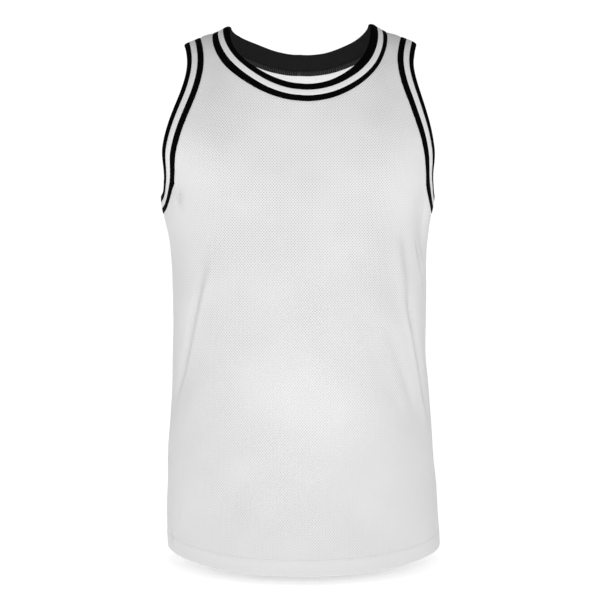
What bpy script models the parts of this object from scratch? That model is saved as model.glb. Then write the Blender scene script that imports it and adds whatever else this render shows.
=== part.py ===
"""Basketball jersey: sleeveless mesh-knit body in its worn, filled-out shape, with striped rib
trims round the neck and both armholes.

Frame: origin midway between the two shoulders, where the straps rest on the wearer. +Z up,
-Y is the front, +X is the viewer's right when the front is seen. All sizes below are in
millimetres and are turned into metres when the meshes are made.

The cloth's outer face is one smooth surface, place(a, h):
  a  angle round the body, 0 at the right side, pi/2 at the centre, pi at the left side
  h  height on the front, negative; 0 is the shoulder ridge; positive values run down the back
The same point at a side is (a, h) on the front and (-a, -h) on the back.
"""
import bpy
import bmesh
import numpy as np
from math import pi, radians

MM = 0.001

# ---- named sizes, mm ---------------------------------------------------------------------
BREAK = 200.0          # the arch over the shoulder starts this far below the origin
WALL = 1.4             # mesh knit with its loft
HEM_WALL = 2.6         # two layers at the turned-up hem
HEM_DEEP = 21.0        # depth of the turned-up hem
HEM_FRONT = -707.5     # lowest point of the front hem
HEM_BACK = -703.5      # lowest point of the back hem
HEM_SIDE = -694.0      # hem at the side seams
SEAM_GAP = 0.3         # clear distance between two pieces at a seam
TRIM = 23.8            # visible width of the rib trim
STRIPES_NECK = (8.8, 16.3)     # where the neck trim's colour changes, from its free edge
STRIPES_ARM = (7.7, 15.7)      # the same on the armhole trims
NECK_WANDER = 6.5      # how far the neck stripes wander, out on the right and in on the left
RIB_PROUD = 0.4        # rib stands this far above the mesh
RIB_UNDER = 1.9        # and reaches this far in
FLAP = 6.85            # seam allowance of the neck trim, turned down inside the body

# height, left half width, right half width, front depth, back depth, squareness of the section
BODY = (
    (-720, 179.0, 191.4, 131.0, 126.0, -0.08),
    (-690, 180.2, 190.9, 130.0, 126.0, -0.07),
    (-640, 181.2, 188.0, 127.0, 124.0, 0.00),
    (-580, 180.0, 182.2, 124.0, 121.0, 0.08),
    (-520, 177.0, 178.2, 121.0, 118.0, 0.13),
    (-470, 174.0, 174.9, 120.0, 116.0, 0.17),
    (-420, 173.0, 172.8, 120.0, 115.0, 0.20),
    (-360, 173.3, 172.6, 121.0, 115.0, 0.25),
    (-310, 174.5, 172.6, 122.5, 116.0, 0.30),
    (-280, 178.0, 173.6, 123.5, 117.0, 0.34),
    (-255, 183.6, 177.0, 124.0, 118.0, 0.38),
    (-232, 187.9, 182.0, 124.5, 118.5, 0.42),
    (-215, 188.8, 183.6, 124.5, 118.5, 0.47),
    (-195, 193.9, 185.6, 124.0, 118.0, 0.52),
    (-160, 210.8, 195.6, 122.5, 117.0, 0.52),
    (-110, 229.1, 204.5, 119.5, 114.0, 0.45),
    (-50, 234.7, 208.8, 115.5, 108.0, 0.486),
    (0, 241.8, 223.0, 112.0, 103.0, 0.489),
    (20, 241.8, 223.0, 111.0, 102.0, 0.489),
)

# distance from the centre, height of the shoulder ridge on the left, on the right
SHOULDER = (
    (0, 62.0, 65.0),
    (30, 58.0, 61.0),
    (60, 46.0, 49.0),
    (84, 25.8, 29.6),
    (98, 12.2, 16.4),
    (106, 6.9, 10.3),
    (114, 3.3, 6.1),
    (122, 1.6, 3.3),
    (130, -0.8, 1.2),
    (138, -4.8, -2.2),
    (148, -9.4, -6.7),
    (158, -12.7, -10.8),
    (175, -20.0, -19.2),
    (200, -34.0, -34.0),
)

# neck hole at its free edge: half width, reach down the front and the back, sideways shift of
# the lowest point, and the two powers that round the curve, front then back
NECK = {"half": 96.3, "front": 142.9, "back": 96.2, "shift_front": 6.9, "shift_back": 4.8,
        "across_front": 2.03, "down_front": 3.81, "across_back": 2.23, "down_back": 2.15}

# armhole at its free edge, for each side: angle cut in at the shoulder, depth at the underarm,
# the two powers that round the curve and two fullness terms, front then back
ARM = {
    "right": {"angle": 44.11, "low": 220.1,
              "across_front": 3.30, "down_front": 2.65, "full_front": -0.214, "wave_front": 0.166,
              "across_back": 2.56, "down_back": 2.31, "full_back": -0.129, "wave_back": 0.062},
    "left": {"angle": 49.0, "low": 220.5,
             "across_front": 3.64, "down_front": 3.04, "full_front": -0.201, "wave_front": 0.179,
             "across_back": 2.25, "down_back": 2.36, "full_back": -0.056, "wave_back": 0.062},
}

# largest soft folds: ring angle and height where each starts and ends (angle in degrees, 90 the
# front centre, 270 the back centre), reach to either side in mm, depth in mm (minus is a trough)
FOLDS = (
    (128.0, -330.0, 158.0, -492.0, 16.0, 34.0, -3.2),
    (122.0, -320.0, 150.0, -500.0, 30.0, 30.0, 2.2),
    (62.0, -372.0, 30.0, -545.0, 30.0, 20.0, -2.8),
    (52.0, -215.0, 40.0, -395.0, 34.0, 30.0, -2.6),
    (14.0, -288.0, 8.0, -455.0, 18.0, 24.0, -3.0),
    (246.0, -300.0, 222.0, -505.0, 26.0, 32.0, -3.0),
    (300.0, -340.0, 322.0, -530.0, 30.0, 24.0, -2.8),
    (330.0, -280.0, 342.0, -440.0, 22.0, 20.0, 2.4),
)
FOLD_SPAN = 150.0      # mm of cloth for each radian round the body, for measuring the folds

# how finely each half panel is divided: rows up the centre and round the neck, rows up the side
# and round the armhole, and columns
FRONT_ROWS = {"centre": 16, "neck": 12, "side": 12, "arm": 16}
BACK_ROWS = {"centre": 19, "neck": 9, "side": 12, "arm": 16}
COLUMNS = 11

WHITE = (0.80, 0.80, 0.80)
BLACK = (0.006, 0.006, 0.007)


# ---- the cloth's surface -----------------------------------------------------------------
def knots(rows):
    k = np.array([r[0] for r in rows], float)
    v = np.array([r[1:] for r in rows], float)
    w = np.diff(k)[:, None]
    d = np.diff(v, axis=0) / w
    m = np.empty_like(v)
    m[0], m[-1] = d[0], d[-1]
    m[1:-1] = (d[:-1] * w[1:] + d[1:] * w[:-1]) / (w[1:] + w[:-1])
    return k, v, m


BODY_CURVE, SHOULDER_CURVE = knots(BODY), knots(SHOULDER)


def read(curve, at):
    """Smooth cubic through the rows of a table."""
    k, v, m = curve
    at = np.clip(at, k[0], k[-1])
    i = np.clip(np.searchsorted(k, at, side="right") - 1, 0, len(k) - 2)
    w = (k[i + 1] - k[i])[..., None]
    t = (at - k[i])[..., None] / w
    return ((2 * t**3 - 3 * t**2 + 1) * v[i] + (t**3 - 2 * t**2 + t) * m[i] * w
            + (3 * t**2 - 2 * t**3) * v[i + 1] + (t**3 - t**2) * m[i + 1] * w)


def place(a, h):
    """Point on the cloth's outer face before folds."""
    a, h = np.broadcast_arrays(np.asarray(a, float), np.asarray(h, float))
    psi = np.clip(1 + h / BREAK, 0.0, 2.0) * pi / 2
    low = np.abs(h) >= BREAK
    s = np.where(low, np.where(h < 0, 1.0, -1.0), np.cos(psi))
    up = np.where(low, 0.0, np.sin(psi))
    level = np.where(low, -np.abs(h), -BREAK * (1 - up))
    left, right, front, back, square = np.moveaxis(read(BODY_CURVE, level), -1, 0)
    c = np.cos(a)
    x = np.where(c > 0, right, left) * c
    ridge = read(SHOULDER_CURVE, np.abs(x))
    k = 0.5 + 0.5 * np.clip(x / 60.0, -1, 1)
    ridge = ridge[..., 0] + (ridge[..., 1] - ridge[..., 0]) * k
    z = np.where(low, level, -BREAK + (ridge + BREAK) * up)
    side = np.sin(a) * (1 + square * c * c)
    y = -np.where(side * s >= 0, front, back) * side * s
    return np.stack([x, y, z], -1)


def slopes(a, h):
    da, dh = 1e-3, 0.2
    pa = (place(a + da, h) - place(a - da, h)) / (2 * da)
    ph = (place(a, h + dh) - place(a, h - dh)) / (2 * dh)
    n = np.cross(ph, pa)
    n /= np.linalg.norm(n, axis=-1, keepdims=True)
    return pa, ph, n


def folds(a, h):
    """Height of the soft folds above the surface."""
    z = place(a, h)[..., 2]
    ring = np.where(h <= 0, a, -a)
    out = np.zeros(np.shape(z))
    for a0, z0, a1, z1, near, far, depth in FOLDS:
        u = (np.mod(ring - radians(a0) + pi, 2 * pi) - pi) * FOLD_SPAN
        du, dz = radians(a1 - a0) * FOLD_SPAN, z1 - z0
        size = np.hypot(du, dz)
        t = (u * du + (z - z0) * dz) / size**2
        off = (u * dz - (z - z0) * du) / size
        reach = np.where(off < 0, near, far)
        ends = np.clip(np.minimum(t + 0.15, 1.15 - t) / 0.45, 0, 1)
        ends = ends * ends * (3 - 2 * ends)
        out += depth * ends * np.exp(-(off / reach) ** 2)
    return out


def spots(ah, lift):
    """Points moved out from the surface by lift, folds included."""
    a, h = ah[..., 0], ah[..., 1]
    n = slopes(a, h)[2]
    return place(a, h) + n * (folds(a, h) + lift)[..., None]


def walk(ah, heading, distance, steps=8):
    """Follow the surface from each point in a heading for a distance."""
    a, h = ah[..., 0].copy(), ah[..., 1].copy()
    ds = distance / steps
    for _ in range(steps):
        a1, h1 = a, h
        for part in (0.5, 1.0):
            pa, ph, n = slopes(a1, h1)
            t = heading - n * np.sum(heading * n, -1, keepdims=True)
            t /= np.linalg.norm(t, axis=-1, keepdims=True)
            e, f, g = np.sum(pa * pa, -1), np.sum(pa * ph, -1), np.sum(ph * ph, -1)
            p, q = np.sum(pa * t, -1), np.sum(ph * t, -1)
            det = e * g - f * f
            a1, h1 = a + (g * p - f * q) / det * ds * part, h + (e * q - f * p) / det * ds * part
        a, h, heading = a1, h1, t
    return np.stack([a, h], -1)


# ---- cut edges ---------------------------------------------------------------------------
def power(v, p):
    return np.sign(v) * np.abs(v) ** p


def neck_edge(t):
    """Free edge of the neck: t 0 right shoulder, pi/2 front centre, pi left, 3pi/2 back."""
    c, s = np.cos(t), np.sin(t)
    front = s >= 0
    across = np.where(front, NECK["across_front"], NECK["across_back"])
    down = np.where(front, NECK["down_front"], NECK["down_back"])
    x = (NECK["half"] * power(c, 2 / across) + NECK["shift_front"] * np.maximum(0, s) ** 2
         + NECK["shift_back"] * np.maximum(0, -s) ** 2)
    h = np.where(front, -NECK["front"], NECK["back"]) * np.abs(s) ** (2 / down)
    level = -BREAK * (1 - np.sin((1 + h / BREAK) * pi / 2))
    sizes = read(BODY_CURVE, level)
    half = np.where(x > 0, sizes[..., 1], sizes[..., 0])
    return np.stack([np.arccos(np.clip(x / half, -1, 1)), h], -1)


def arm_edge(t, left=False):
    """Free edge of an armhole: t -pi/2 underarm, 0 shoulder, pi/2 underarm again."""
    arm = ARM["left" if left else "right"]
    t = np.asarray(t, float)
    turn = np.where(t < -pi / 2, 1.0, np.where(t > pi / 2, -1.0, 0.0))
    flip = np.where(turn == 0, 1.0, -1.0)
    t = t + turn * pi
    c, s = np.cos(t), np.sin(t)
    front = s < 0
    pick = lambda name: np.where(front, arm[name + "_front"], arm[name + "_back"])
    w = 1 + pick("full") * np.sin(2 * np.abs(t)) + pick("wave") * np.sin(4 * np.abs(t))
    a = radians(arm["angle"]) * np.abs(c) ** (2 / pick("across")) * w
    h = arm["low"] * power(s, 2 / pick("down"))
    a = a * flip
    return np.stack([pi - a if left else a, h * flip], -1)


def arm_left(t):
    return arm_edge(t, True)


def even(edge, t0, t1, count):
    """Values of t that divide an edge into stretches of equal length."""
    t = np.linspace(t0, t1, 401)
    ah = edge(t)
    run = np.r_[0, np.cumsum(np.linalg.norm(np.diff(place(ah[:, 0], ah[:, 1]), axis=0), axis=1))]
    return np.interp(np.linspace(0, run[-1], count + 1), run, t)


def lane(edge, t, distance):
    """Line that runs a distance in from a free edge; the neck's stripes wander a little."""
    e = 1e-3
    ah, b, f = edge(t), edge(t - e), edge(t + e)
    if edge is arm_left:
        b, f = f, b
    if edge is neck_edge:
        share = np.interp(distance, (1.6, 8.0, 17.0, 22.3), (0.0, 1.0, 1.0, 0.0))
        distance = distance + NECK_WANDER * share * np.maximum(0, np.sin(t)) * np.cos(t) ** 3
    way = place(f[:, 0], f[:, 1]) - place(b[:, 0], b[:, 1])
    way /= np.linalg.norm(way, axis=-1, keepdims=True)
    inward = np.cross(slopes(ah[:, 0], ah[:, 1])[2], way)
    return walk(ah, inward, distance) if np.any(distance) else ah


def hem_line(a, front):
    low = HEM_FRONT if front else HEM_BACK
    return low + (HEM_SIDE - low) * np.abs(np.cos(a)) ** 3


# ---- panels ------------------------------------------------------------------------------
def panel_path(start, end, count):
    """Rows from the hem to the end point: hem edge, hem's top in two lines, then even rows."""
    down = start[1] < 0
    total = abs(end[1] - start[1])
    lifts = [0.0, HEM_DEEP, HEM_DEEP + 0.7]
    lifts += list(np.linspace(HEM_DEEP + 0.7, total, count - 1)[1:])
    k = np.array(lifts) / total
    return start + k[:, None] * (end - start)


def half_panel(front, left, rows, columns):
    """Grid of (a, h) for one half of a panel, and the strip along its neck seam."""
    g = SEAM_GAP / 2
    turn = (pi / 2, 0.0) if front else (-pi / 2, 0.0)
    t = even(neck_edge, turn[0], turn[1], rows["neck"])
    if left:
        t = even(neck_edge, pi / 2, pi, rows["neck"]) if front else \
            even(neck_edge, 3 * pi / 2, pi, rows["neck"])
    seam, fold = lane(neck_edge, t, TRIM + g), lane(neck_edge, t, TRIM + g + FLAP)
    edge = arm_left if left else arm_edge
    t = even(edge, -pi / 2 if front else pi / 2, 0.0, rows["arm"])
    arm = lane(edge, t, TRIM + g)
    hem_c = hem_line(pi / 2, front) * (1 if front else -1)
    side_a = pi if left else 0.0
    hem_s = HEM_SIDE * (1 if front else -1)
    inner = np.vstack([panel_path(np.array([pi / 2, hem_c]), fold[0], rows["centre"]), fold[1:]])
    outer = np.vstack([panel_path(np.array([side_a, hem_s]), arm[0], rows["side"]), arm[1:]])
    # clearances at the side seam and the shoulder seam
    out_n = rows["side"] + 1
    pa = np.linalg.norm(slopes(outer[:out_n, 0], outer[:out_n, 1])[0], axis=-1)
    outer[:out_n, 0] += (-1 if left else 1) * g / pa
    w = np.linspace(0, 1, columns + 1)[None, :, None]
    grid = inner[:, None, :] * (1 - w) + outer[:, None, :] * w
    # the hem follows its own line
    for row, lift in ((0, 0.0), (1, HEM_DEEP), (2, HEM_DEEP + 0.7)):
        line = hem_line(grid[row, :, 0], front) + lift
        grid[row, :, 1] = line if front else -line
    strip = np.stack([seam, fold], 1)
    for block in (grid[-1], strip[-1]):
        ph = np.linalg.norm(slopes(block[:, 0], block[:, 1])[1], axis=-1)
        block[:, 1] += (-1 if front else 1) * g / ph
    return grid, strip


def closed_shell(name, blocks):
    """One closed wall from grids of (a, h), each with its own depth for every row."""
    index, points, depth, quads = {}, [], [], []

    def vertex(p, d):
        key = (round(float(p[0]), 6), round(float(p[1]), 3))
        if key not in index:
            index[key] = len(points)
            points.append(p)
            depth.append(d)
        return index[key]

    for grid, depths in blocks:
        ids = [[vertex(p, depths[i]) for p in row] for i, row in enumerate(grid)]
        for i in range(len(ids) - 1):
            for j in range(len(ids[0]) - 1):
                quads.append((ids[i][j], ids[i][j + 1], ids[i + 1][j + 1], ids[i + 1][j]))
    points, depth = np.array(points), np.array(depth)
    outer = spots(points, 0.0 * depth) * MM
    inner = spots(points, -depth) * MM
    count = {}
    for q in quads:
        for k in range(4):
            e = (q[k], q[(k + 1) % 4])
            count[tuple(sorted(e))] = count.get(tuple(sorted(e)), 0) + 1
    bm = bmesh.new()
    vo = [bm.verts.new(p) for p in outer]
    vi = [bm.verts.new(p) for p in inner]
    for q in quads:
        bm.faces.new([vo[k] for k in q])
        bm.faces.new([vi[k] for k in reversed(q)])
    for (p, q), n in count.items():
        if n == 1:
            bm.faces.new([vo[p], vo[q], vi[q], vi[p]])
    return finish(name, bm, [0] * len(bm.faces))


def finish(name, bm, slots):
    bm.faces.ensure_lookup_table()
    for face, slot in zip(bm.faces, slots):
        face.material_index = slot
    bmesh.ops.recalc_face_normals(bm, faces=bm.faces[:])
    bmesh.ops.triangulate(bm, faces=bm.faces[:])
    mesh = bpy.data.meshes.new(name)
    bm.to_mesh(mesh)
    bm.free()
    obj = bpy.data.objects.new(name, mesh)
    bpy.context.scene.collection.objects.link(obj)
    return obj


def panel(name, front, rows, columns, material):
    blocks = []
    for left in (False, True):
        grid, strip = half_panel(front, left, rows, columns)
        depths = [HEM_WALL, HEM_WALL] + [WALL] * (len(grid) - 2)
        blocks.append((grid, depths))
        blocks.append((strip, [WALL] * len(strip)))
    obj = closed_shell(name, blocks)
    obj.data.materials.append(material)
    return obj


# ---- trims -------------------------------------------------------------------------------
def ring(name, edge, t, profile, colour_of, materials):
    """Closed ring that carries a profile of (distance from the free edge, lift) round an edge."""
    distances = sorted({s for s, _ in profile})
    lanes = {s: lane(edge, t, s) for s in distances}
    rows = [spots(lanes[s], np.full(len(t), lift)) * MM for s, lift in profile]
    bm = bmesh.new()
    verts = [[bm.verts.new(p) for p in row] for row in rows]
    slots, n, m = [], len(t), len(profile)
    for j in range(m):
        for k in range(n):
            bm.faces.new([verts[j][k], verts[j][(k + 1) % n],
                          verts[(j + 1) % m][(k + 1) % n], verts[(j + 1) % m][k]])
            slots.append(colour_of[j])
    obj = finish(name, bm, slots)
    for m in materials:
        obj.data.materials.append(m)
    return obj


def trim_profile(stripes, flap):
    s1, s2 = stripes
    end = TRIM - SEAM_GAP / 2
    out = [(0.0, -0.3), (0.8, RIB_PROUD), (s1, RIB_PROUD), (s2, RIB_PROUD), (end, RIB_PROUD)]
    colour = [0, 0, 1, 0, 0]
    if flap:
        under = -WALL - SEAM_GAP - 0.05
        out += [(end, under), (TRIM - SEAM_GAP / 2 + FLAP, under),
                (TRIM - SEAM_GAP / 2 + FLAP, under - 0.75), (TRIM - 2.2, under - 0.75),
                (TRIM - 4.0, -RIB_UNDER)]
        colour += [0, 0, 0, 0, 0]
    else:
        out += [(end, -RIB_UNDER)]
        colour += [0]
    out += [(0.8, -RIB_UNDER), (0.0, -1.2)]
    colour += [0, 0]
    return out, colour


def material(name, colour, roughness):
    m = bpy.data.materials.new(name)
    m.use_nodes = True
    shader = m.node_tree.nodes["Principled BSDF"]
    shader.inputs["Base Color"].default_value = (*colour, 1.0)
    shader.inputs["Roughness"].default_value = roughness
    shader.inputs["Metallic"].default_value = 0.0
    m.diffuse_color = (*colour, 1.0)
    return m


def main():
    for obj in list(bpy.data.objects):
        bpy.data.objects.remove(obj, do_unlink=True)

    panel("front_panel", True, FRONT_ROWS, COLUMNS, material("front_mesh_white", WHITE, 0.85))
    panel("back_panel", False, BACK_ROWS, COLUMNS, material("back_mesh_white", WHITE, 0.85))

    quarter = [even(neck_edge, pi / 2, 0.0, FRONT_ROWS["neck"])[::-1],
               even(neck_edge, pi / 2, pi, FRONT_ROWS["neck"]),
               even(neck_edge, 3 * pi / 2, pi, BACK_ROWS["neck"])[::-1],
               even(neck_edge, -pi / 2, 0.0, BACK_ROWS["neck"]) + 2 * pi]
    t = np.concatenate([q[:-1] for q in quarter])
    profile, colour = trim_profile(STRIPES_NECK, True)
    ring("neck_trim", neck_edge, t, profile, colour,
         [material("neck_rib_black", BLACK, 0.8), material("neck_rib_white", WHITE, 0.8)])

    profile, colour = trim_profile(STRIPES_ARM, False)
    for name, edge in (("armhole_trim_right", arm_edge), ("armhole_trim_left", arm_left)):
        t = np.concatenate([even(edge, -pi / 2, 0.0, FRONT_ROWS["arm"])[:-1],
                            even(edge, pi / 2, 0.0, BACK_ROWS["arm"])[::-1][:-1]])
        ring(name, edge, t, profile, colour,
             [material(name + "_black", BLACK, 0.8), material(name + "_white", WHITE, 0.8)])


main()
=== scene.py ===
"""Basketball jersey: the looks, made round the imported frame.

Sizes are in millimetres and are turned into metres when the meshes are made. The cloth's outer
face is place(a, h): a is the angle round the body (0 right side, pi/2 centre, pi left side) and
h the height on the front, negative, through 0 at the shoulder ridge, to positive down the back.
"""
import bpy
import numpy as np
from math import pi, radians
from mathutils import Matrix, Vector


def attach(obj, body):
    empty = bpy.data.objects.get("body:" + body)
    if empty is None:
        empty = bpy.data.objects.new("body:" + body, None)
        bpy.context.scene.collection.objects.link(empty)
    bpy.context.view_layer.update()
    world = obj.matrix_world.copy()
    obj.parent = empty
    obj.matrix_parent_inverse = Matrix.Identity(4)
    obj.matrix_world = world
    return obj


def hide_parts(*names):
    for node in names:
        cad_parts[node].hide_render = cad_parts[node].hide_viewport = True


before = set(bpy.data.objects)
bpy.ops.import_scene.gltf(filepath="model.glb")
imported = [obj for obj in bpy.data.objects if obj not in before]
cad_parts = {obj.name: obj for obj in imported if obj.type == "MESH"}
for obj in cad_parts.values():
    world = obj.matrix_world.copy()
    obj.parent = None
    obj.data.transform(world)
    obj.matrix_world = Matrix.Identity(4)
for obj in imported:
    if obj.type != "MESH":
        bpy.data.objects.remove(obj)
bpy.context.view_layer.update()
MM = 0.001

# ---- named sizes, mm ---------------------------------------------------------------------
BREAK = 200.0
WALL = 1.4
HEM_WALL = 2.6
HEM_DEEP = 21.0
HEM_FRONT = -707.5
HEM_BACK = -703.5
HEM_SIDE = -694.0
SEAM_GAP = 0.3
JOIN_GAP = 0.02         # each panel's edge from the line where front and back are sewn together
TRIM = 23.8
STRIPES_NECK = (8.8, 16.3)
STRIPES_ARM = (7.7, 15.7)
NECK_WANDER = 6.5       # how far the neck stripes wander, out on the right and in on the left
ARM_WANDER = {"left": 1.7, "right": 0.6}    # how far the armhole stripes wander in underarm
RIB_PROUD = 0.4
RIB_UNDER = 1.9
FLAP = 6.85
STITCH_LINE = 20.2      # hem stitching, above the hem's edge
STITCH_STEP = 3.0

# height, left half width, right half width, front depth, back depth, squareness of the section
BODY = (
    (-720, 179.0, 191.4, 131.0, 126.0, -0.08),
    (-690, 180.2, 190.9, 130.0, 126.0, -0.07),
    (-640, 181.2, 188.0, 127.0, 124.0, 0.00),
    (-580, 180.0, 182.2, 124.0, 121.0, 0.08),
    (-520, 177.0, 178.2, 121.0, 118.0, 0.13),
    (-470, 174.0, 174.9, 120.0, 116.0, 0.17),
    (-420, 173.0, 172.8, 120.0, 115.0, 0.20),
    (-360, 173.3, 172.6, 121.0, 115.0, 0.25),
    (-310, 174.5, 172.6, 122.5, 116.0, 0.30),
    (-280, 178.0, 173.6, 123.5, 117.0, 0.34),
    (-255, 183.6, 177.0, 124.0, 118.0, 0.38),
    (-232, 187.9, 182.0, 124.5, 118.5, 0.42),
    (-215, 188.8, 183.6, 124.5, 118.5, 0.47),
    (-195, 193.9, 185.6, 124.0, 118.0, 0.52),
    (-160, 210.8, 195.6, 122.5, 117.0, 0.52),
    (-110, 229.1, 204.5, 119.5, 114.0, 0.45),
    (-50, 234.7, 208.8, 115.5, 108.0, 0.486),
    (0, 241.8, 223.0, 112.0, 103.0, 0.489),
    (20, 241.8, 223.0, 111.0, 102.0, 0.489),
)

# distance from the centre, height of the shoulder ridge on the left, on the right
SHOULDER = (
    (0, 62.0, 65.0),
    (30, 58.0, 61.0),
    (60, 46.0, 49.0),
    (84, 25.8, 29.6),
    (98, 12.2, 16.4),
    (106, 6.9, 10.3),
    (114, 3.3, 6.1),
    (122, 1.6, 3.3),
    (130, -0.8, 1.2),
    (138, -4.8, -2.2),
    (148, -9.4, -6.7),
    (158, -12.7, -10.8),
    (175, -20.0, -19.2),
    (200, -34.0, -34.0),
)

NECK = {"half": 96.3, "front": 142.9, "back": 96.2, "shift_front": 6.9, "shift_back": 4.8,
        "across_front": 2.03, "down_front": 3.81, "across_back": 2.23, "down_back": 2.15}

ARM = {
    "right": {"angle": 44.11, "low": 220.1,
              "across_front": 3.30, "down_front": 2.65, "full_front": -0.214, "wave_front": 0.166,
              "across_back": 2.56, "down_back": 2.31, "full_back": -0.129, "wave_back": 0.062},
    "left": {"angle": 49.0, "low": 220.5,
             "across_front": 3.64, "down_front": 3.04, "full_front": -0.201, "wave_front": 0.179,
             "across_back": 2.25, "down_back": 2.36, "full_back": -0.056, "wave_back": 0.062},
}

# largest soft folds: ring angle and height at each end, reach to either side, depth
FOLDS = (
    (128.0, -330.0, 158.0, -492.0, 16.0, 34.0, -3.2),
    (122.0, -320.0, 150.0, -500.0, 30.0, 30.0, 2.2),
    (62.0, -372.0, 30.0, -545.0, 30.0, 20.0, -2.8),
    (52.0, -215.0, 40.0, -395.0, 34.0, 30.0, -2.6),
    (14.0, -288.0, 8.0, -455.0, 18.0, 24.0, -3.0),
    (246.0, -300.0, 222.0, -505.0, 26.0, 32.0, -3.0),
    (300.0, -340.0, 322.0, -530.0, 30.0, 24.0, -2.8),
    (330.0, -280.0, 342.0, -440.0, 22.0, 20.0, 2.4),
)
FOLD_SPAN = 150.0

# finer creases, each a bent line seen from the front or the back: panel, x and z of its start,
# its bend and its end, half width, depth, height of the ridge beside it, and the ridge's side
CREASES = (
    # front, as they lie
    ("front", -167, -208, -158, -219, -152, -252, 2.6, 3.70, 0.40, -1),
    ("front", -114, -296, -144, -400, -170, -525, 4.2, 4.30, 0.90, 1),
    ("front", -119, -270, -141, -376, -170, -510, 9.0, 2.30, 1.60, 1),
    ("front", 153, -278, 158, -308, 168, -356, 3.4, 3.40, 0.90, -1),
    ("front", 137, -336, 153, -425, 177, -552, 4.6, 5.00, 1.60, -1),
    ("front", 160, -196, 166, -250, 162, -335, 10.0, 4.40, 0.20, 1),
    ("front", 134, -262, 141, -330, 150, -405, 7.5, 2.60, 2.20, -1),
    ("front", 110, -384, 130, -440, 165, -540, 8.0, 2.50, 1.00, -1),
    ("front", -177, -636, -172, -666, -166, -694, 3.0, 3.40, 0.90, 1),
    ("front", -163, -628, -160, -640, -156, -653, 3.4, 1.10, 0.50, 1),
    ("front", -60, -560, -84, -618, -96, -688, 17.0, 1.10, 0.60, 1),
    ("front", 70, -585, 78, -640, 92, -694, 18.0, 1.20, 0.70, -1),
    ("front", -104, -30, -120, -72, -128, -118, 9.0, 1.20, 0.60, 1),
    ("front", 104, -26, 118, -70, 122, -124, 9.0, 1.30, 0.60, -1),
    # back, of the same kinds
    ("back", -160, -208, -150, -236, -134, -262, 3.2, 1.70, 0.80, 1),
    ("back", 157, -206, 146, -230, 136, -250, 2.8, 1.50, 0.70, -1),
    ("back", -120, -290, -138, -380, -164, -500, 5.4, 3.30, 1.80, -1),
    ("back", -96, -330, -112, -420, -150, -560, 11.0, 2.30, 1.20, 1),
    ("back", 118, -300, 132, -372, 162, -468, 4.8, 2.90, 1.70, -1),
    ("back", 92, -392, 116, -470, 158, -600, 10.0, 2.50, 1.30, -1),
    ("back", 164, -300, 166, -352, 163, -428, 3.2, 2.00, 1.00, 1),
    ("back", -40, -120, -62, -180, -92, -250, 13.0, 1.40, 0.70, 1),
    ("back", 44, -112, 70, -170, 88, -226, 12.0, 1.20, 0.70, -1),
    ("back", 30, -430, 22, -520, 34, -640, 18.0, 1.30, 0.70, 1),
    ("back", -66, -520, -78, -600, -70, -690, 16.0, 1.20, 0.60, -1),
    ("back", 168, -640, 164, -674, 150, -694, 3.2, 1.50, 0.80, -1),
)

# resolution: rows up the centre, round the neck, up the side, round the armhole; columns
ROWS = {"hem": (0.0, 0.18, 0.45, 0.85, 1.3, 2.2, 4.5, 8.0, 12.0, 16.0, 18.4, 19.4, 20.2, 21.0,
                21.7, 23.5),
        "front": {"centre": 118, "neck": 92, "side": 86, "arm": 124},
        "back": {"centre": 140, "neck": 72, "side": 88, "arm": 124},
        "columns": 84}


# ---- the cloth's surface -----------------------------------------------------------------
def knots(rows):
    k = np.array([r[0] for r in rows], float)
    v = np.array([r[1:] for r in rows], float)
    w = np.diff(k)[:, None]
    d = np.diff(v, axis=0) / w
    m = np.empty_like(v)
    m[0], m[-1] = d[0], d[-1]
    m[1:-1] = (d[:-1] * w[1:] + d[1:] * w[:-1]) / (w[1:] + w[:-1])
    return k, v, m


BODY_CURVE, SHOULDER_CURVE = knots(BODY), knots(SHOULDER)


def read(curve, at):
    k, v, m = curve
    at = np.clip(at, k[0], k[-1])
    i = np.clip(np.searchsorted(k, at, side="right") - 1, 0, len(k) - 2)
    w = (k[i + 1] - k[i])[..., None]
    t = (at - k[i])[..., None] / w
    return ((2 * t**3 - 3 * t**2 + 1) * v[i] + (t**3 - 2 * t**2 + t) * m[i] * w
            + (3 * t**2 - 2 * t**3) * v[i + 1] + (t**3 - t**2) * m[i + 1] * w)


def place(a, h):
    a, h = np.broadcast_arrays(np.asarray(a, float), np.asarray(h, float))
    psi = np.clip(1 + h / BREAK, 0.0, 2.0) * pi / 2
    low = np.abs(h) >= BREAK
    s = np.where(low, np.where(h < 0, 1.0, -1.0), np.cos(psi))
    up = np.where(low, 0.0, np.sin(psi))
    level = np.where(low, -np.abs(h), -BREAK * (1 - up))
    left, right, front, back, square = np.moveaxis(read(BODY_CURVE, level), -1, 0)
    c = np.cos(a)
    x = np.where(c > 0, right, left) * c
    ridge = read(SHOULDER_CURVE, np.abs(x))
    k = 0.5 + 0.5 * np.clip(x / 60.0, -1, 1)
    ridge = ridge[..., 0] + (ridge[..., 1] - ridge[..., 0]) * k
    z = np.where(low, level, -BREAK + (ridge + BREAK) * up)
    side = np.sin(a) * (1 + square * c * c)
    y = -np.where(side * s >= 0, front, back) * side * s
    return np.stack([x, y, z], -1)


def slopes(a, h):
    da, dh = 1e-3, 0.2
    pa = (place(a + da, h) - place(a - da, h)) / (2 * da)
    ph = (place(a, h + dh) - place(a, h - dh)) / (2 * dh)
    n = np.cross(ph, pa)
    n /= np.linalg.norm(n, axis=-1, keepdims=True)
    return pa, ph, n


def ease(t):
    t = np.clip(t, 0.0, 1.0)
    return t * t * (3 - 2 * t)


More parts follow.
